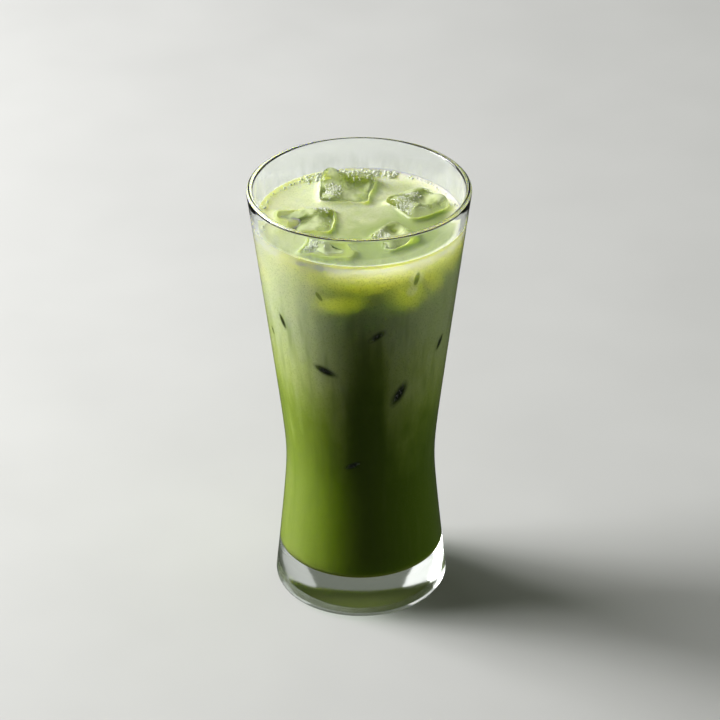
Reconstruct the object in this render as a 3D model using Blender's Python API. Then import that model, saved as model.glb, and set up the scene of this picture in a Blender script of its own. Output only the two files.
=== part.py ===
"""Iced matcha latte in a tall waisted glass. Metres, +Z up, standing on z = 0."""
import math
import random

import bmesh
import bpy
from mathutils import Euler, Matrix, Vector

# Glass: two straight tapers that meet in a rounded waist, a heavy base and a rounded lip.
GLASS_HEIGHT = 0.160
WAIST_HEIGHT = 0.054         # where the two tapers would meet
WAIST_RADIUS = 0.0256        # their shared radius there, before the waist is rounded
WAIST_ROUNDING = 0.010
FLARE_UP = 0.1275            # outer radius gained per metre above the waist
FLARE_DOWN = 0.106           # outer radius gained per metre below it
HEEL_RADIUS = 0.0037
WALL_AT_RIM = 0.0021
WALL_AT_BASE = 0.0028
BASE_THICKNESS = 0.016
INNER_CORNER = 0.0016        # radius where the inner wall meets the inner floor
PUNT_RADIUS = 0.0190         # shallow hollow under the base, inside the foot ring
PUNT_DEPTH = 0.0008

# Drink: strong matcha below, matcha and milk above, with a raised edge at the wall.
DRINK_LEVEL = 0.148
MATCHA_LEVEL = 0.068
MENISCUS_RISE = 0.0010
MENISCUS_WIDTH = 0.0016

# Ice: size along its own axes, centre in plan, height of its highest point above the
# drink, then tilt about X, tilt about Y and turn about Z in degrees.
ICE_BLOCKS = {
    "ice_back": ((0.0205, 0.0205, 0.0150), (-0.0048, 0.0196), 0.0061, (9, 5, -4)),
    "ice_left": ((0.0225, 0.0185, 0.0150), (-0.0186, -0.0032), 0.0032, (3, -7, -3)),
    "ice_right": ((0.0180, 0.0190, 0.0160), (0.0210, 0.0080), 0.0058, (-11, 4, 37)),
    "ice_front_right": ((0.0150, 0.0145, 0.0150), (0.0115, -0.0155), 0.0042, (8, -4, 42)),
    "ice_front_left": ((0.0210, 0.0110, 0.0140), (-0.0102, -0.0247), 0.0024, (6, 5, -20)),
}
ICE_CORNER_SHIFT = 0.07      # how far a corner may lie off a true block, as a share of its size
ICE_EDGE_RADIUS = 0.0026

CLEARANCE = 0.0003           # between a piece and what it touches
SEGMENTS = 64
WALL_STEPS = 15
ARC_STEPS = 4
MENISCUS_STEPS = 4
ICE_EDGE_STEPS = 3
WELD_DISTANCE = 1e-6
SMOOTH_ANGLE = math.radians(40)


def clear_scene():
    """Start from an empty scene."""
    for thing in list(bpy.data.objects):
        bpy.data.objects.remove(thing, do_unlink=True)


def finish_material(name, colour, roughness, transmission=0.0, ior=1.45):
    """A Principled material from a linear colour."""
    material = bpy.data.materials.new(name)
    material.use_nodes = True
    shader = material.node_tree.nodes["Principled BSDF"]
    shader.inputs["Base Color"].default_value = (*colour, 1.0)
    shader.inputs["Roughness"].default_value = roughness
    shader.inputs["Metallic"].default_value = 0.0
    shader.inputs["Transmission Weight"].default_value = transmission
    shader.inputs["IOR"].default_value = ior
    material.diffuse_color = (*colour, 1.0)
    return material


def place_object(name, form, material):
    """Turn a bmesh into a named object that shades smooth up to its sharp edges."""
    mesh = bpy.data.meshes.new(name)
    form.to_mesh(mesh)
    form.free()
    mesh.materials.append(material)
    mesh.shade_smooth()
    mesh.set_sharp_from_angle(angle=SMOOTH_ANGLE)
    piece = bpy.data.objects.new(name, mesh)
    bpy.context.scene.collection.objects.link(piece)
    return piece


def turned_solid(name, outline, material):
    """Solid of revolution about Z. The outline of (radius, height) runs from axis to axis."""
    form = bmesh.new()
    points = [form.verts.new((radius, 0.0, height)) for radius, height in outline]
    edges = [form.edges.new(pair) for pair in zip(points, points[1:])]
    bmesh.ops.spin(
        form, geom=points + edges, cent=(0, 0, 0), axis=(0, 0, 1),
        angle=math.tau, steps=SEGMENTS, use_merge=True,
    )
    bmesh.ops.remove_doubles(form, verts=form.verts, dist=WELD_DISTANCE)
    bmesh.ops.recalc_face_normals(form, faces=form.faces)
    return place_object(name, form, material)


def outer_radius(height):
    """Outer wall: straight taper, rounded waist, straight taper."""
    rise = height - WAIST_HEIGHT
    slope = (FLARE_UP - FLARE_DOWN) / 2
    bend = (FLARE_UP + FLARE_DOWN) / 2
    return WAIST_RADIUS + slope * rise + bend * math.hypot(rise, WAIST_ROUNDING)


def inner_radius(height):
    """Inner wall: the outer wall less a thickness that thins towards the rim."""
    share = (height - BASE_THICKNESS) / (GLASS_HEIGHT - BASE_THICKNESS)
    return outer_radius(height) - WALL_AT_BASE - (WALL_AT_RIM - WALL_AT_BASE) * share


def even_heights(low, high, steps):
    """Heights from low to high, both included."""
    return [low + (high - low) * step / steps for step in range(steps + 1)]


def arc(centre_radius, centre_height, radius, start, end):
    """Points of an arc in the turning plane, from one angle to another in degrees."""
    angles = even_heights(math.radians(start), math.radians(end), ARC_STEPS)
    return [
        (centre_radius + radius * math.cos(angle), centre_height + radius * math.sin(angle))
        for angle in angles
    ]


def make_glass(material):
    """Clear tumbler: punt, foot ring, heel, outer wall, lip, inner wall and inner floor."""
    lip = WALL_AT_RIM / 2
    lip_height = GLASS_HEIGHT - lip
    lip_centre = outer_radius(lip_height) - lip
    corner_height = BASE_THICKNESS + INNER_CORNER
    corner_centre = inner_radius(corner_height) - INNER_CORNER
    heel_centre = outer_radius(HEEL_RADIUS) - HEEL_RADIUS

    outline = [(0.0, PUNT_DEPTH), (PUNT_RADIUS * 0.6, PUNT_DEPTH * 0.64), (PUNT_RADIUS, 0.0)]
    outline += arc(heel_centre, HEEL_RADIUS, HEEL_RADIUS, -90, 0)
    outer = even_heights(HEEL_RADIUS, lip_height, WALL_STEPS + 1)[1:-1]
    outline += [(outer_radius(height), height) for height in outer]
    outline += arc(lip_centre, lip_height, lip, 0, 180)
    inner = even_heights(lip_height, corner_height, WALL_STEPS)[1:-1]
    outline += [(inner_radius(height), height) for height in inner]
    outline += arc(corner_centre, corner_height, INNER_CORNER, 0, -90)
    outline.append((0.0, BASE_THICKNESS))
    return turned_solid("glass", outline, material)


def drink_radius(height):
    """The drink stands a clearance off the inner wall."""
    return inner_radius(height) - CLEARANCE


def make_matcha(material):
    """Strong matcha at the bottom, with a flat top just under the milky layer."""
    floor = BASE_THICKNESS + CLEARANCE
    corner_height = floor + INNER_CORNER
    top = MATCHA_LEVEL - CLEARANCE / 2
    outline = [(0.0, floor)]
    outline += arc(drink_radius(corner_height) - INNER_CORNER, corner_height, INNER_CORNER, -90, 0)
    heights = even_heights(corner_height, top, WALL_STEPS // 2)[1:]
    outline += [(drink_radius(height), height) for height in heights]
    outline.append((0.0, top))
    return turned_solid("drink_matcha", outline, material)


def make_milky_drink(material):
    """Matcha and milk up to the level, with the meniscus raised along the wall."""
    bottom = MATCHA_LEVEL + CLEARANCE / 2
    edge_height = DRINK_LEVEL + MENISCUS_RISE
    edge_radius = drink_radius(edge_height)
    outline = [(0.0, bottom)]
    heights = even_heights(bottom, edge_height, WALL_STEPS // 2)
    outline += [(drink_radius(height), height) for height in heights]
    for step in range(1, MENISCUS_STEPS + 1):
        inward = 3 * MENISCUS_WIDTH * (step / MENISCUS_STEPS) ** 1.5
        rise = MENISCUS_RISE * math.exp(-inward / MENISCUS_WIDTH)
        outline.append((edge_radius - inward, DRINK_LEVEL + rise))
    outline.append((0.0, DRINK_LEVEL))
    return turned_solid("drink_milky", outline, material)


def ice_form(name):
    """One half-melted block: corners shifted, edges rounded, tilted and set in place."""
    size, plan, rise, turn = ICE_BLOCKS[name]
    chance = random.Random(name)
    form = bmesh.new()
    bmesh.ops.create_cube(form, size=1.0)
    for corner in form.verts:
        for axis in range(3):
            shift = 1.0 - ICE_CORNER_SHIFT * chance.random()
            corner.co[axis] *= size[axis] * shift
    bmesh.ops.bevel(
        form, geom=form.edges[:], offset=ICE_EDGE_RADIUS, offset_type="OFFSET",
        segments=ICE_EDGE_STEPS, profile=0.5, affect="EDGES", clamp_overlap=True,
    )
    rotation = Euler([math.radians(angle) for angle in turn]).to_matrix().to_4x4()
    bmesh.ops.transform(form, matrix=rotation, verts=form.verts)
    highest = max(corner.co.z for corner in form.verts)
    place = Vector((plan[0], plan[1], DRINK_LEVEL + rise - highest))
    bmesh.ops.transform(form, matrix=Matrix.Translation(place), verts=form.verts)
    bmesh.ops.triangulate(form, faces=form.faces)
    bmesh.ops.recalc_face_normals(form, faces=form.faces)
    form.normal_update()
    return form


def make_ice(name, material):
    """The block itself."""
    return place_object(name, ice_form(name), material)


def make_pocket(name, material):
    """The block grown by the clearance, which cuts the drink round it."""
    form = ice_form(name)
    moves = [(corner, corner.normal * corner.calc_shell_factor() * CLEARANCE) for corner in form.verts]
    for corner, move in moves:
        corner.co += move
    pocket = place_object("pocket_" + name, form, material)
    pocket.hide_render = True
    pocket.display_type = "WIRE"
    return pocket


def cut(piece, cutter):
    """Take the cutter's volume out of the piece."""
    boolean = piece.modifiers.new(cutter.name, "BOOLEAN")
    boolean.operation = "DIFFERENCE"
    boolean.solver = "EXACT"
    boolean.object = cutter


def build():
    """Make the glass, the two layers of drink and the ice that breaks the surface."""
    clear_scene()
    clear_glass = finish_material("soda_lime_glass", (0.90, 0.93, 0.91), 0.03, 1.0, 1.52)
    strong_matcha = finish_material("strong_matcha", (0.240, 0.340, 0.050), 0.35)
    milky_matcha = finish_material("milky_matcha", (0.560, 0.620, 0.330), 0.35)
    clear_ice = finish_material("clear_ice", (0.88, 0.92, 0.86), 0.08, 1.0, 1.31)

    make_glass(clear_glass)
    make_matcha(strong_matcha)
    milky = make_milky_drink(milky_matcha)
    for name in ICE_BLOCKS:
        make_ice(name, clear_ice)
        cut(milky, make_pocket(name, milky_matcha))


build()
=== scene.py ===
"""Looks of the iced matcha latte in its waisted glass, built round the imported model."""
import math

import bmesh
import bpy
from mathutils import Matrix, Vector, noise
from mathutils.bvhtree import BVHTree


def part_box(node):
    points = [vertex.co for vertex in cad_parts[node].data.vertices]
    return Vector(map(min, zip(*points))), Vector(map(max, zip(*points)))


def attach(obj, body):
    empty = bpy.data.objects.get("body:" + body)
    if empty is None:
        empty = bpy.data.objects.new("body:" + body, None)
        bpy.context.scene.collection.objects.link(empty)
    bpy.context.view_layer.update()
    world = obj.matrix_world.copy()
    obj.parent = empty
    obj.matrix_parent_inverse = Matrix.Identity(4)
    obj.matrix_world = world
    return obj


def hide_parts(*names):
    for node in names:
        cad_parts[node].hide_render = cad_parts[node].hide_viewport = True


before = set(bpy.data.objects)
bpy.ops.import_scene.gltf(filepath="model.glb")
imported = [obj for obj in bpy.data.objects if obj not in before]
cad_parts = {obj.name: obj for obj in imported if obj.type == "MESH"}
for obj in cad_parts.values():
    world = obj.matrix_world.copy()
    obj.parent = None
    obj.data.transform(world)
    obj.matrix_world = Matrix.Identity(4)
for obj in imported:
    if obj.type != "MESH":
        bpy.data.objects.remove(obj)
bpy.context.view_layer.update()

MM = 0.001
GLASS_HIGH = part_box("glass")[1]
MATCHA_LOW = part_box("drink_matcha")[0]
MILKY_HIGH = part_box("drink_milky")[1]
ICE_NODES = sorted(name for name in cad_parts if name.startswith("ice_"))

# Glass: the same tapers, waist, lip, heel, floor and punt as the solid.
GLASS_HEIGHT = GLASS_HIGH.z
WAIST_HEIGHT = 54.0 * MM
WAIST_RADIUS = 25.6 * MM
WAIST_ROUNDING = 10.0 * MM
FLARE_UP = 0.1275
FLARE_DOWN = 0.106
HEEL_RADIUS = 3.7 * MM
WALL_AT_RIM = 2.1 * MM
WALL_AT_BASE = 2.8 * MM
BASE_THICKNESS = 16.0 * MM
INNER_CORNER = 1.6 * MM
PUNT_RADIUS = 19.0 * MM
PUNT_DEPTH = 0.8 * MM

# Drink: its level, its raised edges at the wall and the ice, and how far it reaches into them.
MENISCUS_RISE = 1.0 * MM
MENISCUS_WIDTH = 1.6 * MM
DRINK_LEVEL = MILKY_HIGH.z - MENISCUS_RISE
ICE_MENISCUS_RISE = 1.3 * MM
ICE_MENISCUS_WIDTH = 1.0 * MM
INTO_WALL = 0.3 * MM
INTO_ICE = 0.25 * MM
POCKET_DEPTH = 2.6 * MM          # how far below the level the ice hollows the drink
COVER_DEPTH = 4.0 * MM           # ice deeper than this doesn't show through
RIPPLE_HEIGHT = 0.22 * MM
RIPPLE_SPACING = 9.0 * MM
CALM_WIDTH = 4.0 * MM            # no ripples this close to the wall
CREASE_ANGLE = math.radians(38)
LEVEL_TOLERANCE = 0.01 * MM      # how far below the level a point still counts as surface
SURFACE_BAND = 0.5 * MM          # the same, once the surface has its ripples
PROBE_HEIGHT = 0.3 * MM          # how far over the level the distance to the ice is measured
RAY_LIFT = 0.1 * MM              # how far over the surface the rays down to the ice start

# Ice: how melting wears, dimples and rounds it.
ICE_STEP = 3.0 * MM
MOST_HALVINGS = 4                # how often its long edges may be halved
WEAR = 1.1 * MM
WEAR_SPACING = 6.0 * MM
WORN_VOXEL = 0.8 * MM
FINE_VOXEL = 0.55 * MM
DIMPLE_DEPTH = 0.16 * MM
DIMPLE_SPACING = 4.5 * MM
FINE_DIMPLE_SPACING = 1.8 * MM
FINE_DIMPLE_SHARE = 0.4
MOST_AT_CORNER = 1.6             # how much further than a flat a corner may move
SUNK_GROWTH = 0.1 * MM
SUNK_LENGTHENING = 1.15          # a sunk block's length against its width
SUNK_BEVEL = 1.5                 # its bevel's width against the rounding of its edges
SLIDING_PASSES = 4
VEIL_THICKNESS = 0.04 * MM

# Milky film on the empty wall: how high it reaches, and how far in its two faces lie.
FILM_HEIGHT = 8.5 * MM
FILM_OUTSIDE = 0.03 * MM
FILM_INSIDE = 0.06 * MM

# How finely the turned pieces are drawn.
STEPS_AROUND = 256
PUNT_STEPS = 12
ARC_STEPS = 10
LIP_STEPS = 16
OUTER_WALL_STEPS = 70
INNER_WALL_STEPS = 64
MENISCUS_STEPS = 14
SURFACE_STEPS = 84
FILM_STEPS = 16
WELD = 0.002 * MM

# Sunk ice that touches the wall: turn from the front about the axis in degrees, height of the touching
# edge in millimetres, its length, its slope in degrees, how far it reaches past the drink's side, the
# rounding of the edge, the width of the block behind it, and how dark the drink is painted round the
# edge, as painted shade for its dark inside, from 0 to 1.
SUNK_ICE = (
    (33.2, 140.4, 4.6, 80, 0.30, 0.8, 6.5, 0.55),
    (-23.5, 134.8, 3.0, -60, 0.12, 0.9, 6.0, 0.40),
    (-53.9, 118.2, 4.6, -65, 0.20, 0.9, 10.0, 0.90),
    (-70.0, 109.9, 2.4, -56, 0.15, 0.8, 9.0, 0.60),
    (10.4, 118.9, 5.2, 38, 0.20, 1.2, 10.5, 0.95),
    (61.0, 107.2, 4.8, 63, 0.24, 0.9, 10.0, 0.95),
    (-23.2, 103.1, 6.6, -22, 0.26, 1.5, 11.5, 1.00),
    (27.7, 92.4, 8.0, 64, 0.24, 1.2, 11.0, 1.00),
    (-6.0, 62.6, 4.6, 32, 0.20, 1.5, 10.0, 0.95),
    (118.0, 128.0, 4.6, -48, 0.22, 1.2, 9.0, 0.90),
    (150.0, 101.0, 6.2, 28, 0.26, 1.3, 11.0, 1.00),
    (196.0, 119.0, 5.0, 70, 0.22, 1.1, 10.0, 0.95),
    (228.0, 88.0, 5.6, -35, 0.25, 1.3, 11.0, 1.00),
    (262.0, 112.0, 4.2, 52, 0.20, 1.0, 9.0, 0.90),
    (94.0, 76.0, 4.4, -62, 0.22, 1.2, 9.0, 0.90),
)

# Where strong matcha climbs through the milk: turn from the front, half width and rise.
GREEN_TONGUES = ((5.0, 17.0, 30.0), (112.0, 20.0, 14.0), (196.0, 17.0, 24.0), (278.0, 18.0, 10.0))

# Where ice lies just behind the side under a thin skin of drink and carries light down, the side is
# painted a yellow glow and light spreads further in it: turn, height, half width, half height, slope and
# strength.
GLOW_PATCHES = (
    (-14.0, 132.2, 9.5, 4.0, 6.0, 1.0), (2.0, 140.2, 15.0, 3.6, 0.0, 0.55),
    (30.0, 133.5, 7.0, 6.0, 0.0, 1.0), (46.0, 138.5, 4.5, 8.5, 24.0, 0.9),
    (60.0, 143.0, 7.0, 5.0, 0.0, 0.8), (128.0, 136.0, 9.0, 5.0, 0.0, 0.8),
    (205.0, 138.0, 12.0, 5.0, 0.0, 0.8), (285.0, 135.0, 8.0, 6.0, 0.0, 0.7),
)

# Pale rings painted round sunk ice by the level, a painted highlight drawn as froth: turn, height and
# radius.
HIGHLIGHT_RINGS = ((33.2, 140.6, 4.2), (31.0, 136.0, 3.2))

# Where a block almost touches the wall under thin froth: turn, height, and the radii between
# which the froth loses its yellower colour.
THIN_FROTH = (-37.0, 144.5, 6.0, 10.0)

# How the drink's looks change along its axes: what each change is measured from, where it
# starts and ends in millimetres, its strength before and after, and whether it is eased.
DRINK_FADES = {
    "under_tongues": ("base", 112.0, 134.0, 1.0, 0.0, True),
    "to_the_right": ("middle", -14.0, 18.0, 0.0, 0.6, True),
    "to_the_left": ("middle", -24.0, -9.0, 1.0, 0.0, False),
    "off_the_left": ("middle", -28.0, -10.0, 0.35, 1.0, False),
    "far_left": ("middle", -34.0, -14.0, 0.45, 0.0, False),
    "front_shade": ("centre", -12.0, 8.0, 0.85, 0.0, False),
    "on_top": ("level", -0.5, -0.1, 0.0, 1.0, False),
    "top_layer": ("level", -4.5, -3.5, 0.0, 0.7, False),
    "by_level": ("level", -5.2, -0.8, 0.0, 1.0, True),
    "under_edge": ("level", -14.0, -2.5, 0.0, 0.9, True),
    "under_milk": ("base", 116.0, 136.0, 1.0, 0.0, False),
    "milky": ("base", 90.0, 122.0, 14.0 * MM, 23.0 * MM, False),
    "painted_floor_light": ("floor", 0.0, 1.5, 0.8, 0.0, False),
    "at_side": ("wall", -5.0, -2.6, 0.0, 1.0, False),
    "inside": ("wall", -5.0, -2.6, 1.0, 0.0, False),
    "inwards": ("wall", -7.0, -1.5, 1.0, 0.0, True),
    "off_wall": ("wall", -1.8, -0.6, 1.0, 0.0, False),
}

# Hollows that melting has left in the blocks: place in millimetres, radius and depth.
MELT_HOLLOWS = (
    (1.0, 17.0, 153.5, 6.5, 2.0), (-12.5, 14.0, 151.5, 5.0, 1.6), (-5.0, 27.5, 153.0, 5.0, 1.0),
    (-20.0, -1.0, 150.0, 5.0, 0.7), (-9.5, -4.5, 150.9, 5.5, 1.7), (-22.0, -9.0, 149.8, 4.0, 0.6),
    (23.0, 6.0, 152.5, 6.0, 1.9), (15.5, 1.0, 151.5, 5.0, 1.5), (26.0, 13.0, 150.5, 4.5, 1.1),
    (12.0, -14.0, 151.5, 5.0, 1.7), (7.0, -19.0, 150.5, 4.5, 1.3),
    (-8.0, -24.0, 150.0, 4.5, 1.3), (-15.5, -24.5, 149.6, 4.0, 1.1),
)

# Bubbles caught on the ice, set where the blocks catch the light so that they stand in part for painted
# glints: block, place in millimetres, radius and number to a square millimetre.
GLINT_BUBBLE_SPOTS = (
    ("ice_right", (14.5, 3.0, 151.5), 5.5, 8.0), ("ice_right", (19.0, 10.0, 152.5), 4.0, 3.0),
    ("ice_left", (-12.5, 2.5, 151.5), 4.0, 5.0), ("ice_left", (-9.0, -4.0, 151.0), 3.0, 5.0),
    ("ice_back", (-9.5, 14.5, 151.5), 4.5, 7.0), ("ice_back", (0.0, 27.0, 151.5), 7.0, 4.0),
    ("ice_front_right", (7.5, -18.0, 150.5), 4.0, 8.0),
    ("ice_front_left", (-16.0, -22.0, 150.5), 4.5, 8.0),
    ("ice_front_left", (-8.0, -21.0, 150.5), 3.0, 3.0),
)
SMALLEST_ON_ICE = 0.12 * MM
LARGEST_ON_ICE = 0.42 * MM

# Froth along the wall: number of bubbles, seed, start and sweep in degrees, then the largest
# radius and the spread inwards in millimetres.
FROTH_STRETCHES = {
    "froth_back": (260, 11, 66, 62, 0.8, 4.5),
    "froth_left": (90, 12, 125, 75, 0.55, 1.6),
    "froth_right": (60, 13, 5, 55, 0.5, 1.4),
}
SMALLEST_IN_FROTH = 0.16 * MM
FROTH_LIFT = 0.4                 # how far up the meniscus the bubbles sit, as a share of its rise

# Studio lights aimed at the glass: place and size in metres, power in watts and colour.
SOFTBOXES = {
    "key_softbox": ((-1.13, 0.30, 0.82), (0.9, 0.9), 36.0, "FFFFFF"),
    "key_centre": ((-1.14, 0.31, 0.84), (0.28, 0.28), 6.0, "FFFFFF"),
    "back_softbox": ((-0.95, 1.00, 0.90), (0.9, 0.9), 2.4, "FFFFFF"),
    "fill_softbox": ((1.25, 0.12, 0.27), (0.9, 0.5), 4.0, "EEF8DC"),
    "side_softbox": ((1.00, 0.95, 0.75), (0.9, 0.9), 1.0, "FFFFFF"),
}

# Weak lights that only light the drink: a strip on the side just under the level, and a disc for
# what the floor throws up into the base. After their colour come the shape, the turn about X in
# degrees and the spread in degrees.
HIDDEN_LIGHTS = {
    "strip_light": (
        (12 * MM, -0.30, DRINK_LEVEL - 3.0 * MM), (44 * MM, 3.5 * MM), 0.0015, "E6E68C",
        "RECTANGLE", 90, 1.4,
    ),
    "floor_bounce": (
        (0.0, 0.0, 1.5 * MM), (32 * MM, 32 * MM), 0.0015, "FFFFFF",
        "DISK", 180, 180,
    ),
}
FLOOR_HALF_WIDTH = 4.0
ROOM_LIGHT = 0.045               # strength of the room's own light
ROOM_THROUGH_GLASS = 0.20        # and of the room as it shows through glass

# Camera: how far it stands from the point that it looks at, and its angles in degrees.
VIEW_DISTANCE = 1.250
VIEW_HEIGHT = 90.67 * MM
VIEW_ELEVATION = 30.5
VIEW_ROLL = -0.3
FOCAL_LENGTH = 175.75
SENSOR_WIDTH = 36.0


def linear(colour):
    """Linear colour and full alpha from an sRGB hex value such as 8FA655."""
    parts = [int(colour[start:start + 2], 16) / 255 for start in (0, 2, 4)]
    return *(part / 12.92 if part <= 0.04045 else ((part + 0.055) / 1.055) ** 2.4 for part in parts), 1.0


def give(tree, node, inputs):
    """Set a node's inputs. Each is a value, or a socket or node to link from."""
    for key, value in dict(inputs).items():
        if isinstance(value, bpy.types.Node):
            value = next(socket for socket in value.outputs if socket.enabled)
        if isinstance(value, bpy.types.NodeSocket):
            tree.links.new(value, node.inputs[key])
        else:
            node.inputs[key].default_value = value


def add(tree, kind, inputs=(), stops=(), **settings):
    """Add a node with its settings and links. Stops are a colour ramp's places and colours."""
    node = tree.nodes.new(kind)
    for name, value in settings.items():
        setattr(node, name, value)
    give(tree, node, inputs)
    if stops:
        points = node.color_ramp.elements
        while len(points) < len(stops):
            points.new(1.0)
        for point, (position, colour) in zip(points, stops):
            point.position = position
            point.color = linear(colour)
    return node


# ---- turned and repeated shapes


def new_tree(name, sockets):
    """A Geometry Nodes group, from the names and kinds of its inputs."""
    tree = bpy.data.node_groups.new(name, "GeometryNodeTree")
    tree.is_modifier = True
    for label, kind in sockets.items():
        tree.interface.new_socket(label, in_out="INPUT", socket_type="NodeSocket" + kind)
    tree.interface.new_socket("Geometry", in_out="OUTPUT", socket_type="NodeSocketGeometry")
    return tree


def end_tree(tree, geometry, material):
    """Finish a group: real geometry, smooth faces, one material."""
    real = add(tree, "GeometryNodeRealizeInstances", {"Geometry": geometry})
    smooth = add(tree, "GeometryNodeSetShadeSmooth", {"Geometry": real})
    painted = add(tree, "GeometryNodeSetMaterial", {"Geometry": smooth, "Material": material})
    add(tree, "NodeGroupOutput", {"Geometry": painted})


def round_axis(tree, radius, angle, height):
    """The point at a radius and a height, turned about Z."""
    cosine = add(tree, "ShaderNodeMath", {0: angle}, operation="COSINE")
    sine = add(tree, "ShaderNodeMath", {0: angle}, operation="SINE")
    x = add(tree, "ShaderNodeMath", {0: radius, 1: cosine}, operation="MULTIPLY")
    y = add(tree, "ShaderNodeMath", {0: radius, 1: sine}, operation="MULTIPLY")
    return add(tree, "ShaderNodeCombineXYZ", {"X": x, "Y": y, "Z": height})


def turning_tree():
    """Turn the input's chain of (radius, 0, height) points about Z into a closed skin."""
    tree = new_tree("turn_outline", {
        "Outline": "Geometry", "Steps Around": "Int", "Weld Distance": "Float", "Material": "Material",
    })
    given = add(tree, "NodeGroupInput").outputs
    size = add(tree, "GeometryNodeAttributeDomainSize", {"Geometry": given["Outline"]}, component="MESH")
    columns = add(tree, "ShaderNodeMath", {0: given["Steps Around"], 1: 1.0}, operation="ADD")
    grid = add(tree, "GeometryNodeMeshGrid", {
        "Vertices X": size.outputs["Point Count"], "Vertices Y": columns}).outputs["Mesh"]
    index = add(tree, "GeometryNodeInputIndex")
    share = add(tree, "ShaderNodeMath", {0: index, 1: columns}, operation="DIVIDE")
    row = add(tree, "ShaderNodeMath", {0: share}, operation="FLOOR")
    column = add(tree, "ShaderNodeMath", {0: index, 1: columns}, operation="MODULO")
    place = add(tree, "GeometryNodeInputPosition")
    point = add(tree, "GeometryNodeSampleIndex", {
        "Geometry": given["Outline"], "Value": place, "Index": row,
    }, data_type="FLOAT_VECTOR", domain="POINT")
    parts = add(tree, "ShaderNodeSeparateXYZ", {0: point.outputs["Value"]}).outputs
    turn = add(tree, "ShaderNodeMath", {0: column, 1: given["Steps Around"]}, operation="DIVIDE")
    angle = add(tree, "ShaderNodeMath", {0: turn, 1: math.tau}, operation="MULTIPLY")
    spot = round_axis(tree, parts["X"], angle, parts["Z"])
    skin = add(tree, "GeometryNodeSetPosition", {"Geometry": grid, "Position": spot})
    welded = add(tree, "GeometryNodeMergeByDistance", {
        "Geometry": skin, "Distance": given["Weld Distance"]})
    end_tree(tree, welded, given["Material"])
    return tree


def bubbles_at(tree, points, size, material):
    """End a group with a small sphere of each size at each point."""
    bubble = add(tree, "GeometryNodeMeshUVSphere", {"Segments": 8, "Rings": 6, "Radius": 1.0})
    copies = add(tree, "GeometryNodeInstanceOnPoints", {
        "Points": points, "Instance": bubble.outputs["Mesh"], "Scale": size})
    end_tree(tree, copies, material)


def froth_tree():
    """Scatter half-sunk bubbles along a stretch of a level ring, densest at the ring."""
    tree = new_tree("froth", {
        "Geometry": "Geometry", "Count": "Int", "Seed": "Int", "Ring Radius": "Float",
        "Level": "Float", "Spread": "Float", "Start Angle": "Float", "Sweep Angle": "Float",
        "Smallest": "Float", "Largest": "Float", "Material": "Material",
    })
    given = add(tree, "NodeGroupInput").outputs

    def draw(offset, power):
        """A random share from 0 to 1 for each bubble, pushed towards 0 by its power."""
        seed = add(tree, "ShaderNodeMath", {0: given["Seed"], 1: offset}, operation="ADD")
        chance = add(tree, "FunctionNodeRandomValue", {"Seed": seed}, data_type="FLOAT")
        return add(tree, "ShaderNodeMath", {0: chance.outputs[1], 1: power}, operation="POWER")

    swept = add(tree, "ShaderNodeMath", {
        0: draw(0, 1.0), 1: given["Sweep Angle"], 2: given["Start Angle"]}, operation="MULTIPLY_ADD")
    size = add(tree, "ShaderNodeMix", {
        2: given["Smallest"], 3: given["Largest"], 0: draw(1, 2.2)}, data_type="FLOAT").outputs[0]
    inward = add(tree, "ShaderNodeMath", {
        0: draw(2, 1.8), 1: given["Spread"], 2: size}, operation="MULTIPLY_ADD")
    radius = add(tree, "ShaderNodeMath", {0: given["Ring Radius"], 1: inward}, operation="SUBTRACT")
    lift = add(tree, "ShaderNodeMath", {0: size, 1: 0.25, 2: given["Level"]}, operation="MULTIPLY_ADD")
    spot = round_axis(tree, radius, swept, lift)
    points = add(tree, "GeometryNodePoints", {"Count": given["Count"], "Position": spot})
    bubbles_at(tree, points.outputs[0], size, given["Material"])
    return tree


def crust_tree():
    """Scatter tiny bubbles over the part of a surface that lies round a spot."""
    tree = new_tree("glint_bubbles_on_ice", {
        "Geometry": "Geometry", "Spot": "Vector", "Radius": "Float", "Density": "Float",
        "Seed": "Int", "Smallest": "Float", "Largest": "Float", "Material": "Material",
    })
    given = add(tree, "NodeGroupInput").outputs
    place = add(tree, "GeometryNodeInputPosition")
    away = add(tree, "ShaderNodeVectorMath", {0: place, 1: given["Spot"]}, operation="DISTANCE")
    share = add(tree, "ShaderNodeMath", {
        0: away.outputs["Value"], 1: given["Radius"]}, operation="DIVIDE")
    near = add(tree, "ShaderNodeMath", {0: 1.0, 1: share}, operation="SUBTRACT", use_clamp=True)
    density = add(tree, "ShaderNodeMath", {0: near, 1: given["Density"]}, operation="MULTIPLY")
    points = add(tree, "GeometryNodeDistributePointsOnFaces", {
        "Mesh": given["Geometry"], "Density": density, "Seed": given["Seed"]})
    chance = add(tree, "FunctionNodeRandomValue", {"Seed": given["Seed"]}, data_type="FLOAT")
    chance = add(tree, "ShaderNodeMath", {0: chance.outputs[1], 1: 2.0}, operation="POWER")
    size = add(tree, "ShaderNodeMix", {
        2: given["Smallest"], 3: given["Largest"], 0: chance}, data_type="FLOAT")
    bubbles_at(tree, points.outputs["Points"], size.outputs[0], given["Material"])
    return tree


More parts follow.
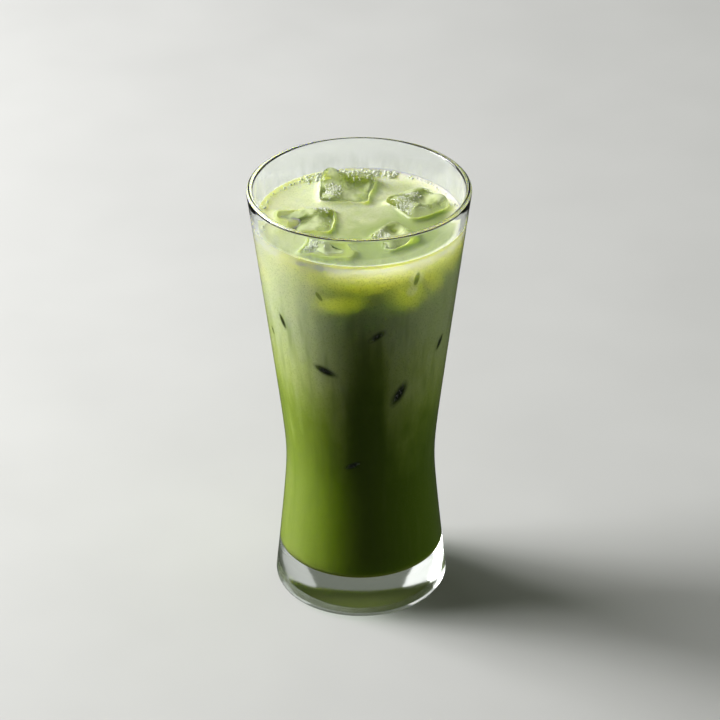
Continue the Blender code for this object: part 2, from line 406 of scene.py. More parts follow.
def shape_by_nodes(name, tree, values, mesh=None):
    """Run a Geometry Nodes group on a mesh and keep the result as a plain mesh object."""
    start = bpy.data.objects.new(name + "_start", mesh or bpy.data.meshes.new(name))
    bpy.context.scene.collection.objects.link(start)
    modifier = start.modifiers.new("shape", "NODES")
    modifier.node_group = tree
    sockets = [item for item in tree.interface.items_tree if item.in_out == "INPUT"]
    identifiers = {socket.name: socket.identifier for socket in sockets}
    for label, value in values.items():
        modifier[identifiers[label]] = tuple(value) if isinstance(value, Vector) else value
    evaluated = start.evaluated_get(bpy.context.evaluated_depsgraph_get())
    result = bpy.data.meshes.new_from_object(evaluated)
    bpy.data.objects.remove(start, do_unlink=True)
    result.name = name
    result.materials.clear()
    result.materials.append(values["Material"])
    result.polygons.foreach_set("material_index", [0] * len(result.polygons))
    piece = bpy.data.objects.new(name, result)
    bpy.context.scene.collection.objects.link(piece)
    return piece


def turned(name, tree, outline, material):
    """A turned piece from its outline of (radius, height), faces outwards."""
    chain = bpy.data.meshes.new(name + "_outline")
    edges = [(step, step + 1) for step in range(len(outline) - 1)]
    chain.from_pydata([(radius, 0.0, height) for radius, height in outline], edges, [])
    piece = shape_by_nodes(name, tree, {
        "Steps Around": STEPS_AROUND, "Weld Distance": WELD, "Material": material,
    }, chain)
    form = form_of(piece.data)
    bmesh.ops.dissolve_degenerate(form, edges=form.edges, dist=WELD / 2)
    face_outwards(form)
    form.to_mesh(piece.data)
    form.free()
    return piece


# ---- meshes


def form_of(mesh):
    """A bmesh of a mesh."""
    form = bmesh.new()
    form.from_mesh(mesh)
    return form


def object_from(form, name, material=None):
    """An object from a bmesh, smooth all over."""
    mesh = bpy.data.meshes.new(name)
    form.to_mesh(mesh)
    form.free()
    if material:
        mesh.materials.append(material)
    mesh.shade_smooth()
    piece = bpy.data.objects.new(name, mesh)
    bpy.context.scene.collection.objects.link(piece)
    return piece


def joined(forms, name, material):
    """One object from several bmeshes."""
    whole = bmesh.new()
    for form in forms:
        mesh = bpy.data.meshes.new(name)
        form.to_mesh(mesh)
        form.free()
        whole.from_mesh(mesh)
        bpy.data.meshes.remove(mesh)
    return object_from(whole, name, material)


def baked(piece):
    """Apply a piece's modifiers to its mesh."""
    evaluated = piece.evaluated_get(bpy.context.evaluated_depsgraph_get())
    result = bpy.data.meshes.new_from_object(evaluated)
    piece.modifiers.clear()
    piece.data = result
    return piece


def face_outwards(form):
    """Point every face of a closed form outwards."""
    form.normal_update()
    bmesh.ops.recalc_face_normals(form, faces=form.faces)
    if form.calc_volume(signed=True) < 0:
        bmesh.ops.reverse_faces(form, faces=form.faces)


def shift(corners, moves):
    """Move each corner by its own step."""
    for corner, move in zip(corners, moves):
        corner.co += move


def offset(form, distance):
    """Move every vertex along its normal, a little further at corners, to keep the walls apart."""
    form.normal_update()
    shift(form.verts, [
        corner.normal * min(MOST_AT_CORNER, corner.calc_shell_factor()) * distance
        for corner in form.verts
    ])


# ---- outlines


def between(low, high, steps):
    """Evenly spaced values from low to high, both included."""
    return [low + (high - low) * step / steps for step in range(steps + 1)]


def arc(centre_radius, centre_height, radius, start, end, steps=ARC_STEPS):
    """Points of an arc in the turning plane, from one angle to another in degrees."""
    return [
        (centre_radius + radius * math.cos(angle), centre_height + radius * math.sin(angle))
        for angle in between(math.radians(start), math.radians(end), steps)
    ]


def outer_radius(height):
    """Outer wall: straight taper, rounded waist, straight taper."""
    rise = height - WAIST_HEIGHT
    slope = (FLARE_UP - FLARE_DOWN) / 2
    bend = (FLARE_UP + FLARE_DOWN) / 2
    return WAIST_RADIUS + slope * rise + bend * math.hypot(rise, WAIST_ROUNDING)


def inner_radius(height):
    """Inner wall: the outer wall less a thickness that thins towards the rim."""
    share = (height - BASE_THICKNESS) / (GLASS_HEIGHT - BASE_THICKNESS)
    return outer_radius(height) - WALL_AT_BASE - (WALL_AT_RIM - WALL_AT_BASE) * share


def drink_radius(height):
    """The drink reaches a little into the glass, so that no gap shows."""
    return inner_radius(height) + INTO_WALL


def on_side(turn, height, slope=0.0):
    """A spot on the drink's side, and its axes: along the slope, across it and outwards."""
    angle = math.radians(turn)
    tilt = math.radians(slope)
    step = 0.5 * MM
    lean = (inner_radius(height + step) - inner_radius(height - step)) / (2 * step)
    outward = Vector((math.sin(angle), -math.cos(angle), -lean)).normalized()
    along = Vector((math.cos(angle), math.sin(angle), 0.0))
    lengthwise = along * math.cos(tilt) + outward.cross(along) * math.sin(tilt)
    axes = Matrix((lengthwise, outward.cross(lengthwise), outward)).transposed()
    radius = drink_radius(height)
    return Vector((math.sin(angle) * radius, -math.cos(angle) * radius, height)), axes


def glass_outline():
    """Punt, foot ring, heel, outer wall, lip, inner wall and inner floor."""
    lip = WALL_AT_RIM / 2
    lip_height = GLASS_HEIGHT - lip
    corner_height = BASE_THICKNESS + INNER_CORNER
    heel_centre = outer_radius(HEEL_RADIUS) - HEEL_RADIUS
    shares = between(0.0, 1.0, PUNT_STEPS)
    outline = [(PUNT_RADIUS * share, PUNT_DEPTH * (1 - share * share)) for share in shares]
    outline += arc(heel_centre, HEEL_RADIUS, HEEL_RADIUS, -90, 0)
    outer = between(HEEL_RADIUS, lip_height, OUTER_WALL_STEPS)[1:-1]
    outline += [(outer_radius(height), height) for height in outer]
    outline += arc(outer_radius(lip_height) - lip, lip_height, lip, 0, 180, LIP_STEPS)
    inner = between(lip_height, corner_height, INNER_WALL_STEPS)[1:-1]
    outline += [(inner_radius(height), height) for height in inner]
    outline += arc(inner_radius(corner_height) - INNER_CORNER, corner_height, INNER_CORNER, 0, -90)
    outline.append((0.0, BASE_THICKNESS))
    return outline


def drink_outline():
    """The whole drink, up to a meniscus that climbs the wall."""
    floor = BASE_THICKNESS - INTO_WALL
    corner_height = floor + INNER_CORNER
    edge_height = DRINK_LEVEL + MENISCUS_RISE
    edge = inner_radius(edge_height)
    outline = [(0.0, floor)]
    outline += arc(drink_radius(corner_height) - INNER_CORNER, corner_height, INNER_CORNER, -90, 0)
    heights = between(corner_height, edge_height, OUTER_WALL_STEPS)[1:]
    outline += [(drink_radius(height), height) for height in heights]
    # The points crowd towards the wall, where the meniscus is steepest.
    shares = [step / MENISCUS_STEPS for step in range(MENISCUS_STEPS + 1)]
    near_wall = [3.5 * MENISCUS_WIDTH * share ** 1.5 for share in shares]
    outline += [
        (edge - inward, DRINK_LEVEL + MENISCUS_RISE * math.exp(-inward / MENISCUS_WIDTH))
        for inward in near_wall
    ]
    outline += [(radius, DRINK_LEVEL) for radius in between(edge - near_wall[-1], 0.0, SURFACE_STEPS)[1:]]
    return outline


# ---- materials


def new_material(name):
    """A material with its node tree, Principled shader, output and place in millimetres."""
    material = bpy.data.materials.new(name)
    material.use_nodes = True
    tree = material.node_tree
    place = add(tree, "ShaderNodeTexCoord").outputs["Object"]
    scaled = add(tree, "ShaderNodeVectorMath", {0: place, 3: 1 / MM}, operation="SCALE")
    return material, tree, tree.nodes["Principled BSDF"], tree.nodes["Material Output"], scaled


def let_lamps_through(tree, shader, output, tint):
    """Lamps and soft light from around pass straight through, so that what is inside is lit."""
    path = add(tree, "ShaderNodeLightPath").outputs
    from_lamps = add(tree, "ShaderNodeMath", {
        0: path["Is Shadow Ray"], 1: path["Is Diffuse Ray"]}, operation="MAXIMUM")
    clear = add(tree, "ShaderNodeBsdfTransparent", {"Color": linear(tint)})
    both = add(tree, "ShaderNodeMixShader", {0: from_lamps, 1: shader, 2: clear})
    give(tree, output, {"Surface": both})


def soda_lime_glass():
    """Pressed and fire-polished soda-lime glass: clear, mirror smooth, faintly wavy."""
    material, tree, shader, output, place = new_material("soda_lime_glass")
    height = add(tree, "ShaderNodeSeparateXYZ", {0: place}).outputs["Z"]
    in_base = add(tree, "ShaderNodeMapRange", {
        "Value": height, "From Min": 14.0, "From Max": 20.0, "To Min": 0.5, "To Max": 0.0})
    tall = add(tree, "ShaderNodeVectorMath", {0: place, 1: (1, 1, 0.4)}, operation="MULTIPLY")
    smears = add(tree, "ShaderNodeTexNoise", {"Vector": tall, "Scale": 1 / 9, "Detail": 4.0})
    rough = add(tree, "ShaderNodeMapRange", {
        "Value": smears, "From Min": 0.55, "From Max": 0.85, "To Min": 0.0, "To Max": 0.02})
    rough = add(tree, "ShaderNodeMath", {0: in_base, 1: 0.17, 2: rough}, operation="MULTIPLY_ADD")
    # The wall is almost even. The thick base keeps low waves from the mould.
    waves = add(tree, "ShaderNodeTexNoise", {"Vector": tall, "Scale": 1 / 14, "Detail": 1.0})
    flat = add(tree, "ShaderNodeVectorMath", {0: place, 1: (1, 1, 3)}, operation="MULTIPLY")
    mould = add(tree, "ShaderNodeTexNoise", {"Vector": flat, "Scale": 1 / 12, "Detail": 0.0})
    base = add(tree, "ShaderNodeMath", {0: mould, 1: in_base}, operation="MULTIPLY")
    relief = add(tree, "ShaderNodeMath", {0: waves, 1: 0.12, 2: base}, operation="MULTIPLY_ADD")
    bump = add(tree, "ShaderNodeBump", {"Height": relief, "Strength": 0.5, "Distance": 0.4 * MM})
    give(tree, shader, {
        "Base Color": linear("FBFEFC"), "Transmission Weight": 1.0, "IOR": 1.52,
        "Roughness": rough, "Normal": bump,
    })
    let_lamps_through(tree, shader, output, "F6FAF6")
    return material


def drink_fades(tree, place, from_axis):
    """The drink's fades by name, each as a node."""
    part = add(tree, "ShaderNodeSeparateXYZ", {0: place}).outputs
    measures = {
        "middle": (part["X"], 0.0),
        "centre": (part["Y"], 0.0),
        "base": (part["Z"], 0.0),
        "floor": (part["Z"], MATCHA_LOW.z / MM),
        "level": (part["Z"], DRINK_LEVEL / MM),
        "wall": (from_axis, inner_radius(DRINK_LEVEL) / MM),
    }
    fades = {}
    for name, (origin, start, end, before, after, eased) in DRINK_FADES.items():
        value, zero = measures[origin]
        fades[name] = add(tree, "ShaderNodeMapRange", {
            "Value": value, "From Min": zero + start, "From Max": zero + end,
            "To Min": before, "To Max": after,
        }, interpolation_type="SMOOTHSTEP" if eased else "LINEAR")
    return fades


def side_patch(tree, place, turn, height, slope, size, inner, outer, amount):
    """An oval patch on the drink's side: its amount in the middle, eased to nothing outside.

    The inner and outer edge are shares of the patch's size, which is in millimetres.
    """
    spot, axes = on_side(turn, height * MM, slope)
    near = add(tree, "ShaderNodeMapping", {
        "Vector": place, "Location": spot / MM, "Rotation": axes.to_euler(), "Scale": size,
    }, vector_type="TEXTURE")
    away = add(tree, "ShaderNodeVectorMath", {0: near}, operation="LENGTH").outputs["Value"]
    return add(tree, "ShaderNodeMapRange", {
        "Value": away, "From Min": inner, "From Max": outer, "To Min": amount, "To Max": 0.0,
    }, interpolation_type="SMOOTHSTEP")


def tea_and_milk(tree, place, flat, fades):
    """Colour of the two layers, and how far a point is down in the strong tea.

    The layers meet in slow swirls, and the milk sinks in long thin wisps.
    """
    height = add(tree, "ShaderNodeSeparateXYZ", {0: place}).outputs["Z"]
    swirl = add(tree, "ShaderNodeTexNoise", {"Vector": place, "Scale": 1 / 17, "Detail": 3.0})
    tall = add(tree, "ShaderNodeVectorMath", {0: place, 1: (1, 1, 0.2)}, operation="MULTIPLY")
    wisps = add(tree, "ShaderNodeTexNoise", {"Vector": tall, "Scale": 1 / 5, "Detail": 3.0})
    rise = add(tree, "ShaderNodeMath", {0: swirl, 1: 34.0, 2: height}, operation="MULTIPLY_ADD")
    rise = add(tree, "ShaderNodeMath", {0: wisps, 1: 26.0, 2: rise}, operation="MULTIPLY_ADD")
    facing = add(tree, "ShaderNodeVectorMath", {0: flat}, operation="NORMALIZE")
    for turn, half_width, climb in GREEN_TONGUES:
        angle = math.radians(turn)
        near = add(tree, "ShaderNodeVectorMath", {
            0: facing, 1: (math.sin(angle), -math.cos(angle), 0)}, operation="DOT_PRODUCT")
        tongue = add(tree, "ShaderNodeMapRange", {
            "Value": near.outputs["Value"],
            "From Min": math.cos(math.radians(half_width)), "From Max": 1.0, "To Max": climb,
        }, interpolation_type="SMOOTHSTEP")
        tongue = add(tree, "ShaderNodeMath", {
            0: tongue, 1: fades["under_tongues"]}, operation="MULTIPLY")
        rise = add(tree, "ShaderNodeMath", {0: rise, 1: tongue}, operation="SUBTRACT")
    lowest, highest = MATCHA_LOW.z / MM, DRINK_LEVEL / MM
    share = add(tree, "ShaderNodeMapRange", {
        "Value": rise, "From Min": lowest + 30.0, "From Max": highest + 30.0})
    drink = add(tree, "ShaderNodeValToRGB", {"Fac": share}, stops=(
        (0.00, "8CA426"), (0.30, "88A21E"), (0.42, "97AC3C"), (0.52, "B2C064"),
        (0.64, "CDD690"), (0.80, "D6DDB0"), (1.00, "EEF1C6"),
    ))
    low_down = add(tree, "ShaderNodeMapRange", {
        "Value": rise, "From Min": lowest + 62.0, "From Max": lowest + 102.0,
        "To Min": 1.0, "To Max": 0.0,
    }, interpolation_type="SMOOTHSTEP")
    return drink, low_down


def side_glow(tree, place, fades):
    """Where light from the surface, and down the ice close behind the side, makes it glow: this sets a
    painted yellow glow in the colour and a wider spread of light.
    """
    glow = 0.0
    for turn, height, half_width, half_height, slope, amount in GLOW_PATCHES:
        size = (half_width, half_height, half_width)
        skin = side_patch(tree, place, turn, height, slope, size, 0.0, 1.5, amount)
        glow = add(tree, "ShaderNodeMath", {0: skin, 1: glow}, operation="MAXIMUM")
    under_edge = add(tree, "ShaderNodeMath", {
        0: fades["under_edge"], 1: fades["at_side"]}, operation="MULTIPLY")
    under_edge = add(tree, "ShaderNodeMath", {
        0: under_edge, 1: fades["off_the_left"]}, operation="MULTIPLY")
    return add(tree, "ShaderNodeMath", {0: under_edge, 1: glow}, operation="MAXIMUM")


def tea_powder(tree, place, fades):
    """Tea powder, ground to a few microns, drawn coarse enough to show as a faint mottle."""
    grains = add(tree, "ShaderNodeTexNoise", {"Vector": place, "Scale": 1 / 0.6, "Detail": 2.0})
    mottle = add(tree, "ShaderNodeMapRange", {
        "Value": grains, "From Min": 0.48, "From Max": 0.78, "To Max": 0.4})
    # It hangs in long faint streaks below the milk.
    tall = add(tree, "ShaderNodeVectorMath", {0: place, 1: (1, 1, 0.09)}, operation="MULTIPLY")
    hung = add(tree, "ShaderNodeTexNoise", {"Vector": tall, "Scale": 1 / 3.2, "Detail": 2.0})
    streaks = add(tree, "ShaderNodeMapRange", {
        "Value": hung, "From Min": 0.48, "From Max": 0.72, "To Max": 0.4})
    streaks = add(tree, "ShaderNodeMath", {0: streaks, 1: fades["under_milk"]}, operation="MULTIPLY")
    return add(tree, "ShaderNodeMath", {0: mottle, 1: streaks}, operation="MAXIMUM")


def shaded_surface_swirls(tree, place, front_shade, fades):
    """Painted shade: away from the wall, and more so towards the right and the front, the surface is
    painted a little greener, in slow milky swirls.
    """
    stirred = add(tree, "ShaderNodeTexNoise", {
        "Vector": place, "Scale": 1 / 9, "Detail": 2.0, "Distortion": 1.2})
    shade_side = add(tree, "ShaderNodeVectorMath", {
        0: place, 1: (0.016, -0.018, 0.0)}, operation="DOT_PRODUCT")
    shade_side = add(tree, "ShaderNodeMath", {0: shade_side.outputs["Value"], 1: 0.30}, operation="ADD")
    greener = add(tree, "ShaderNodeMath", {
        0: stirred, 1: 0.8, 2: shade_side}, operation="MULTIPLY_ADD", use_clamp=True)
    inwards = add(tree, "ShaderNodeMath", {0: fades["inwards"], 1: front_shade}, operation="MAXIMUM")
    greener = add(tree, "ShaderNodeMath", {0: greener, 1: inwards}, operation="MULTIPLY")
    return add(tree, "ShaderNodeMath", {0: greener, 1: fades["on_top"]}, operation="MULTIPLY")


def froth_band(tree, place, from_axis, front_shade, fades):
    """Froth by the wall, in a band of uneven width that reaches a little way down the side, with painted
    shade that leaves it out on top at the front.
    """
    wall = inner_radius(DRINK_LEVEL) / MM
    ragged = add(tree, "ShaderNodeTexNoise", {"Vector": place, "Scale": 1 / 5, "Detail": 3.0})
    reach = add(tree, "ShaderNodeMath", {0: ragged, 1: 4.0, 2: from_axis}, operation="MULTIPLY_ADD")
    by_wall = add(tree, "ShaderNodeMapRange", {
        "Value": reach, "From Min": wall - 0.6, "From Max": wall + 1.4,
    }, interpolation_type="SMOOTHSTEP")
    froth = add(tree, "ShaderNodeMath", {0: fades["by_level"], 1: by_wall}, operation="MULTIPLY")
    # Painted shade: on top at the front the pale froth is left out.
    shade_on_top = add(tree, "ShaderNodeMath", {0: front_shade, 1: fades["on_top"]}, operation="MULTIPLY")
    return add(tree, "ShaderNodeMath", {
        0: froth, 1: shade_on_top}, operation="SUBTRACT", use_clamp=True)


def matcha_latte():
    """Stone-ground green tea under frothed milk: opaque, softly lit from within, wet on top."""
    material, tree, shader, _, place = new_material("matcha_latte")
    flat = add(tree, "ShaderNodeVectorMath", {0: place, 1: (1, 1, 0)}, operation="MULTIPLY")
    from_axis = add(tree, "ShaderNodeVectorMath", {0: flat}, operation="LENGTH").outputs["Value"]
    fades = drink_fades(tree, place, from_axis)
    on_top = fades["on_top"]
    drink, low_down = tea_and_milk(tree, place, flat, fades)
    # Painted light and painted shade: low down, the drink is painted paler on the lit left and darker on
    # the shaded right.
    painted_light_left = add(tree, "ShaderNodeMath", {0: fades["to_the_left"], 1: low_down}, operation="MULTIPLY")
    painted_shade_right = add(tree, "ShaderNodeMath", {0: fades["to_the_right"], 1: low_down}, operation="MULTIPLY")
    glow = side_glow(tree, place, fades)
    # Painted glow: the side is painted yellower where that light shows, and not on top.
    painted_glow = add(tree, "ShaderNodeMapRange", {"Value": on_top, "To Min": 0.5, "To Max": 0.0})
    painted_glow = add(tree, "ShaderNodeMath", {0: glow, 1: painted_glow}, operation="MULTIPLY")
    # Painted highlight: pale rings round sunk ice by the level.
    painted_highlight_rings = [
        side_patch(tree, place, turn, height, 0.0, (radius,) * 3, 0.4, 1.0, 0.95)
        for turn, height, radius in HIGHLIGHT_RINGS
    ]
    # Painted shade: at the front the surface is painted greener up to the wall, without its pale froth.
    front_shade = add(tree, "ShaderNodeMath", {
        0: fades["front_shade"], 1: fades["off_wall"]}, operation="MULTIPLY")
    # Painted light: by the left wall the surface is painted warmer and paler, where light comes in
    # through the wall.
    painted_light_far_left = add(tree, "ShaderNodeMath", {0: fades["far_left"], 1: on_top}, operation="MULTIPLY")
    # Ice just under the surface shows through as a clearer, yellower green.
    thin = add(tree, "ShaderNodeAttribute", attribute_name="over_ice").outputs["Fac"]
    thin = add(tree, "ShaderNodeMath", {0: thin, 1: 0.8}, operation="MULTIPLY")
    # Under the clear blocks the drink is in shade, and olive.
    pocket = add(tree, "ShaderNodeMath", {
        0: fades["inside"], 1: fades["top_layer"]}, operation="MULTIPLY")
    pocket = add(tree, "ShaderNodeMath", {
        0: pocket, 1: on_top}, operation="SUBTRACT", use_clamp=True)
    turn, height, inner, outer = THIN_FROTH
    over_block = side_patch(tree, place, turn, height, 0.0, (1.0, 1.0, 1.0), inner, outer, 1.0)
    froth_colour = add(tree, "ShaderNodeMix", {
        0: over_block, 6: linear("F4F6CC"), 7: linear("FAFCB0")}, data_type="RGBA")
    # Painted shade: where clear ice touches the wall, the drink round it is painted near black with soft
    # ends, for the dark inside of the drink that shows through the ice.
    marks = [
        side_patch(
            tree, place, turn, height, slope,
            (0.74 * length, 0.30 * length, 0.74 * length), 0.25, 1.2, dark,
        )
        for turn, height, length, slope, _, _, _, dark in SUNK_ICE
    ]
    stains = [
        (painted_light_left, linear("96A550")),
        (painted_shade_right, linear("48600C")),
        (painted_glow, linear("F6F798")),
        *((ring, linear("F4F6E4")) for ring in painted_highlight_rings),
        (tea_powder(tree, place, fades), linear("7C9038")),
        # Painted light: the drink's floor is painted paler and greyer, as it looks lit from below through
        # the thick base.
        (fades["painted_floor_light"], linear("8C9A5A")),
        (shaded_surface_swirls(tree, place, front_shade, fades), linear("99A86A")),
        (painted_light_far_left, linear("DFD692")),
        (thin, linear("A3B056")),
        (pocket, linear("8C9A46")),
        (froth_band(tree, place, from_axis, front_shade, fades), froth_colour),
        *((mark, linear("1A2408")) for mark in marks),
    ]
    for share, colour in stains:
        drink = add(tree, "ShaderNodeMix", {0: share, 6: drink, 7: colour}, data_type="RGBA")
    # Light spreads furthest in the side, still further where ice carries it, and least on top.
    spread = add(tree, "ShaderNodeMapRange", {
        "Value": glow, "To Min": fades["milky"], "To Max": 75.0 * MM})
    spread = add(tree, "ShaderNodeMix", {2: spread, 3: 4.0 * MM, 0: on_top}, data_type="FLOAT")
    ripples = add(tree, "ShaderNodeTexNoise", {"Vector": place, "Scale": 1 / 6, "Detail": 2.0})
    bump = add(tree, "ShaderNodeBump", {"Height": ripples, "Strength": 0.25, "Distance": 0.4 * MM})
    # The free surface is wet and glossy. Against the glass there is no gap to reflect in.
    give(tree, shader, {
        "Base Color": drink, "Specular IOR Level": 0.0, "Roughness": 0.6, "IOR": 1.34,
        "Coat Weight": on_top, "Coat Roughness": 0.12, "Coat IOR": 1.34,
        "Subsurface Weight": 1.0, "Subsurface Radius": (0.93, 1.0, 0.32),
        "Subsurface Scale": spread, "Normal": bump,
    })
    return material


def wet_ice(name, tint, shade):
    """Half-melted ice: clear and wet, with dimpled faces and a little trapped frost."""
    material, tree, shader, output, place = new_material(name)
    frost = add(tree, "ShaderNodeTexNoise", {"Vector": place, "Scale": 1 / 2.4, "Detail": 4.0})
    rough = add(tree, "ShaderNodeMapRange", {
        "Value": frost, "From Min": 0.55, "From Max": 0.75, "To Min": 0.01, "To Max": 0.12})
    dimples = add(tree, "ShaderNodeTexNoise", {"Vector": place, "Scale": 1 / 2.2, "Detail": 3.0})
    bump = add(tree, "ShaderNodeBump", {"Height": dimples, "Strength": 0.9, "Distance": 0.6 * MM})
    give(tree, shader, {
        "Base Color": linear(tint), "Transmission Weight": 1.0, "IOR": 1.31,
        "Roughness": rough, "Normal": bump,
    })
    let_lamps_through(tree, shader, output, shade)
    return material


def milk_veil():
    """The skin of drink that clings to wet ice: thin, in soft-edged patches."""
    material, tree, shader, _, place = new_material("milk_veil")
    patches = add(tree, "ShaderNodeTexNoise", {"Vector": place, "Scale": 1 / 6.5, "Detail": 1.5})
    cover = add(tree, "ShaderNodeMapRange", {
        "Value": patches, "From Min": 0.34, "From Max": 0.62, "To Min": 0.10, "To Max": 0.88,
    }, interpolation_type="SMOOTHSTEP")
    # It runs off steep faces and edges, and stays on the tops.
    normal = add(tree, "ShaderNodeNewGeometry").outputs["Normal"]
    up = add(tree, "ShaderNodeSeparateXYZ", {0: normal}).outputs["Z"]
    level = add(tree, "ShaderNodeMapRange", {
        "Value": up, "From Min": 0.45, "From Max": 0.92, "To Min": 0.18, "To Max": 1.0,
    }, interpolation_type="SMOOTHSTEP")
    alpha = add(tree, "ShaderNodeMath", {0: cover, 1: level}, operation="MULTIPLY")
    colour = add(tree, "ShaderNodeValToRGB", {"Fac": patches}, stops=((0.36, "A9B868"), (0.62, "CDD6A2")))
    dimples = add(tree, "ShaderNodeTexNoise", {"Vector": place, "Scale": 1 / 1.8, "Detail": 2.0})
    bump = add(tree, "ShaderNodeBump", {"Height": dimples, "Strength": 0.8, "Distance": 0.5 * MM})
    give(tree, shader, {
        "Base Color": colour, "Alpha": alpha, "Roughness": 0.12, "IOR": 1.34, "Normal": bump})
    return material


def milk_froth():
    """Thin bubble walls of milk foam: clear in the middle, whitish at the edge."""
    material, tree, shader, _, place = new_material("milk_froth")
    edge = add(tree, "ShaderNodeLayerWeight", {"Blend": 0.35}).outputs["Facing"]
    alpha = add(tree, "ShaderNodeMapRange", {
        "Value": edge, "From Min": 0.05, "From Max": 0.6, "To Min": 0.45, "To Max": 1.0})
    clouds = add(tree, "ShaderNodeTexNoise", {"Vector": place, "Scale": 1 / 1.2})
    colour = add(tree, "ShaderNodeValToRGB", {"Fac": clouds}, stops=((0.3, "E6EAD2"), (0.7, "FAFBF2")))
    give(tree, shader, {"Base Color": colour, "Alpha": alpha, "Roughness": 0.08})
    return material


def milk_film():
    """A wet trace of milk left on the wall: barely there, in uneven streaks."""
    material, tree, shader, _, place = new_material("milk_film")
    height = add(tree, "ShaderNodeSeparateXYZ", {0: place}).outputs["Z"]
    tall = add(tree, "ShaderNodeVectorMath", {0: place, 1: (1, 1, 0.3)}, operation="MULTIPLY")
    streaks = add(tree, "ShaderNodeTexNoise", {"Vector": tall, "Scale": 1 / 3, "Detail": 4.0})
    fade = add(tree, "ShaderNodeMapRange", {
        "Value": height, "From Min": DRINK_LEVEL / MM, "From Max": (DRINK_LEVEL + FILM_HEIGHT) / MM,
        "To Min": 1.0, "To Max": 0.0})
    amount = add(tree, "ShaderNodeMapRange", {
        "Value": streaks, "From Min": 0.35, "From Max": 0.75, "To Min": 0.01, "To Max": 0.20})
    alpha = add(tree, "ShaderNodeMath", {0: amount, 1: fade}, operation="MULTIPLY")
    colour = add(tree, "ShaderNodeValToRGB", {"Fac": streaks}, stops=((0.3, "CBD3B4"), (0.8, "E6EAD8")))
    give(tree, shader, {"Base Color": colour, "Alpha": alpha, "Roughness": 0.3})
    return material


def pale_paper():
    """Matt pale paper sweep: even, with the faintest cloudiness."""
    material, tree, shader, _, place = new_material("pale_paper")
    clouds = add(tree, "ShaderNodeTexNoise", {"Vector": place, "Scale": 1 / 60})
    colour = add(tree, "ShaderNodeValToRGB", {"Fac": clouds}, stops=((0.3, "BEBEBC"), (0.7, "C2C2C0")))
    give(tree, shader, {"Base Color": colour, "Roughness": 0.9})
    return material


# ---- ice


def finely_meshed(piece, voxel, rounds):
    """Remesh a block evenly and smooth it."""
    remesh = piece.modifiers.new("fine", "REMESH")
    remesh.mode = "VOXEL"
    remesh.voxel_size = voxel
    remesh.use_smooth_shade = True
    relax = piece.modifiers.new("relax", "SMOOTH")
    relax.factor = 0.5
    relax.iterations = rounds
    return baked(piece)


def worn_node(name):
    """A bmesh of an ice node, merged, with its flats worn unevenly inwards by melting."""
    form = form_of(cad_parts[name].data)
    bmesh.ops.remove_doubles(form, verts=form.verts, dist=WELD)
    for _ in range(MOST_HALVINGS):
        long = [edge for edge in form.edges if edge.calc_length() > ICE_STEP]
        if not long:
            break
        bmesh.ops.subdivide_edges(form, edges=long, cuts=1, use_grid_fill=True)
        bmesh.ops.triangulate(form, faces=[face for face in form.faces if len(face.verts) > 3])
    face_outwards(form)
    form.normal_update()
    shift(form.verts, [
        corner.normal * -WEAR * (0.5 + noise.noise(corner.co / WEAR_SPACING)) for corner in form.verts])
    block = finely_meshed(object_from(form, name + "_worn"), WORN_VOXEL, rounds=2)
    form = form_of(block.data)
    bpy.data.objects.remove(block, do_unlink=True)
    face_outwards(form)
    return form


def ice_block(name, material):
    """The detailed block that stands for an ice node: worn, then dimpled and hollowed."""
    block = object_from(worn_node(name), name + "_block", material)
    finely_meshed(block, FINE_VOXEL, rounds=4)
    corners = block.data.vertices
    normals = [corner.normal.copy() for corner in corners]
    for corner, normal in zip(corners, normals):
        wave = noise.noise(corner.co / DIMPLE_SPACING)
        wave += FINE_DIMPLE_SHARE * noise.noise(corner.co / FINE_DIMPLE_SPACING)
        sunk = 0.0
        for x, y, z, radius, depth in MELT_HOLLOWS:
            near = (corner.co - Vector((x, y, z)) * MM).length / (radius * MM)
            if near < 1.0:
                sunk += depth * MM * (1.0 - near * near) ** 2
        corner.co += normal * (wave * DIMPLE_DEPTH - sunk)
    block.data.shade_smooth()
    return block


def sunk_block(settings):
    """A sunk block whose rounded edge just reaches the wall, with its bulk behind."""
    turn, height, length, slope, reach, rounding, width, _ = settings
    height, length, reach, rounding, width = (
        size * MM for size in (height, length, reach, rounding, width))
    place, axes = on_side(turn, height, slope)
    form = bmesh.new()
    bmesh.ops.create_cube(form, size=1.0)
    bmesh.ops.scale(form, vec=(width * SUNK_LENGTHENING, width, width), verts=form.verts)
    bmesh.ops.rotate(form, matrix=Matrix.Rotation(math.radians(45), 3, "X"), verts=form.verts)
    bmesh.ops.bevel(
        form, geom=form.edges[:], offset=rounding * SUNK_BEVEL, offset_type="OFFSET",
        segments=4, profile=0.5, affect="EDGES", clamp_overlap=True,
    )
    lengths = [edge for edge in form.edges if abs(edge.verts[0].co.x - edge.verts[1].co.x) > width / 2]
    bmesh.ops.subdivide_edges(form, edges=lengths, cuts=15, use_grid_fill=True)
    # Melting bows the touching edge, so that it meets the round wall over its length alone.
    bow = 2 * reach / (length / 2) ** 2 + math.cos(math.radians(slope)) ** 2 / inner_radius(height)
    for corner in form.verts:
        if corner.co.z > 0:
            corner.co.z -= corner.co.x ** 2 * bow / 2
    bmesh.ops.transform(form, matrix=Matrix.Translation(place) @ axes.to_4x4(), verts=form.verts)
    # Each pass slides the block outwards until its foremost point reaches the wall.
    for _ in range(SLIDING_PASSES):
        spots = [corner.co for corner in form.verts]
        proud = max(math.hypot(spot.x, spot.y) - inner_radius(spot.z) for spot in spots)
        bmesh.ops.translate(form, vec=axes.col[2] * (INTO_WALL + reach - proud), verts=form.verts)
    face_outwards(form)
    offset(form, SUNK_GROWTH)
    return form


# ---- drink


def ice_trees():
    """Search trees of the worn blocks."""
    trees = []
    for name in ICE_NODES:
        form = worn_node(name)
        trees.append(BVHTree.FromBMesh(form))
        form.free()
    return trees


